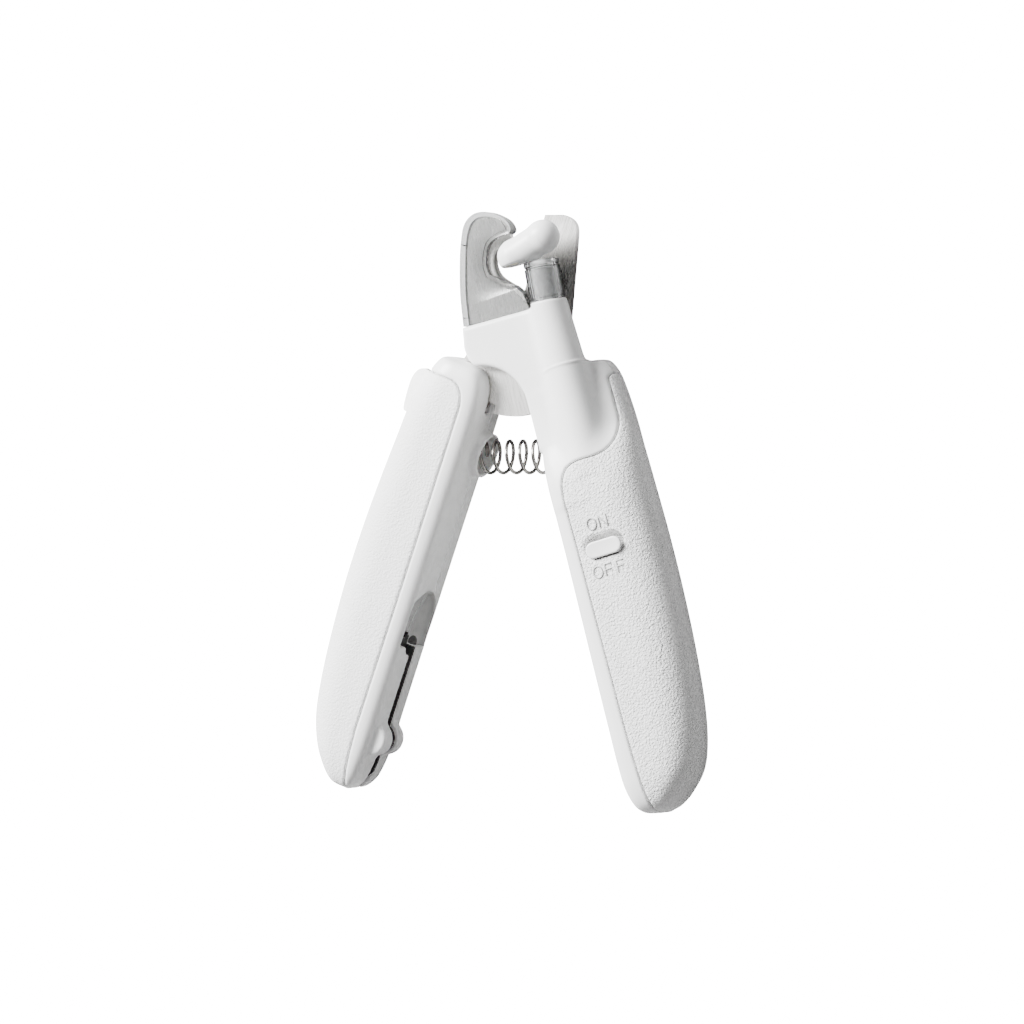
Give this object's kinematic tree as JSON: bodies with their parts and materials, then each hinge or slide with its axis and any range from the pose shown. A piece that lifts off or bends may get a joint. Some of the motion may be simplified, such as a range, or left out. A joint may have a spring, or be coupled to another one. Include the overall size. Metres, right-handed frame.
{
  "type": "pet nail clipper with lamp",
  "caption": "Plier-type pet nail clipper with a sprung pair of handles, a clear nail catcher, a small lamp beside the jaws, a lock lever and a stored nail file.",
  "frame": {"origin": "on the pivot axis, in the plane of the pivot cap's flat back, on which the clipper lies", "axes": "+Y from the handles to the jaws, +X to the side of the handle with the switch, +Z out of the front face"},
  "size_m": [0.1116, 0.1606, 0.0239],
  "materials": {
    "white_plastic": "satin",
    "grip_plastic": "fine grain",
    "blade_steel": "polished",
    "polished_steel": "polished",
    "spring_steel": "bright",
    "file_steel": "cross-cut",
    "clear_plastic": "clear",
    "led_lens": "clear",
    "wire_plastic": "matt",
    "board": "satin",
    "cell_steel": "satin",
    "contact_brass": "satin",
    "washer_plastic": "matt"
  },
  "bodies": {
    "right_half": {"right_front_shell": "white_plastic", "right_back_shell": "white_plastic", "right_grip": "grip_plastic", "left_blade": "blade_steel", "lamp_collar": "clear_plastic", "lamp_stem": "white_plastic", "lamp_hood": "white_plastic", "led": "led_lens", "led_wire_1": "wire_plastic", "led_wire_2": "wire_plastic", "pivot_bolt": "polished_steel", "pivot_nut": "polished_steel", "pivot_washer": "washer_plastic", "pivot_cap": "white_plastic", "circuit_board": "board", "switch_housing": "polished_steel", "led_resistor": "board", "button_cell_1": "cell_steel", "button_cell_2": "cell_steel", "button_cell_3": "cell_steel", "battery_contact": "contact_brass", "battery_spring": "spring_steel", "battery_door": "white_plastic", "battery_door_screw": "polished_steel", "right_screw_1": "polished_steel", "right_screw_2": "polished_steel", "right_screw_3": "polished_steel", "right_rivet_1": "polished_steel", "right_rivet_2": "polished_steel", "coil_spring": "spring_steel"},
    "left_half": {"left_front_shell": "white_plastic", "left_back_shell": "white_plastic", "left_grip": "grip_plastic", "right_blade": "blade_steel", "lock_pin": "polished_steel", "file_pin": "polished_steel", "left_screw_1": "polished_steel", "left_screw_2": "polished_steel", "left_screw_3": "polished_steel", "left_screw_4": "polished_steel", "left_rivet_1": "polished_steel", "left_rivet_2": "polished_steel"},
    "switch_knob": {"switch_knob": "white_plastic"},
    "nail_catcher": {"nail_catcher": "clear_plastic"},
    "lock_lever": {"lock_lever": "polished_steel"},
    "nail_file": {"nail_file": "file_steel"}
  },
  "joints": [
    {"name": "handle_squeeze", "type": "hinge", "parent": "right_half", "child": "left_half", "pos_m": [0, 0, 0.01], "axis": [0, 0, 1], "range_deg": [0, 33], "stiffness_Nm_per_rad": 0.6, "springref_deg": -11.46, "deforming": ["coil_spring"]},
    {"name": "switch_slide", "type": "slide", "parent": "right_half", "child": "switch_knob", "axis": [-0.2773, 0.9608, 0], "range_m": [0, 0.0014]},
    {"name": "catcher_slide", "type": "slide", "parent": "right_half", "child": "nail_catcher", "axis": [-0.2773, 0.9608, 0], "range_m": [0, 0.032]},
    {"name": "lock_turn", "type": "hinge", "parent": "left_half", "child": "lock_lever", "pos_m": [-0.02102, -0.00716, 0.0113], "axis": [0, 0, 1], "range_deg": [0, 20]},
    {"name": "file_turn", "type": "hinge", "parent": "left_half", "child": "nail_file", "pos_m": [-0.04068, -0.10589, 0.0095], "axis": [0, 0, -1], "range_deg": [0, 180]}
  ]
}
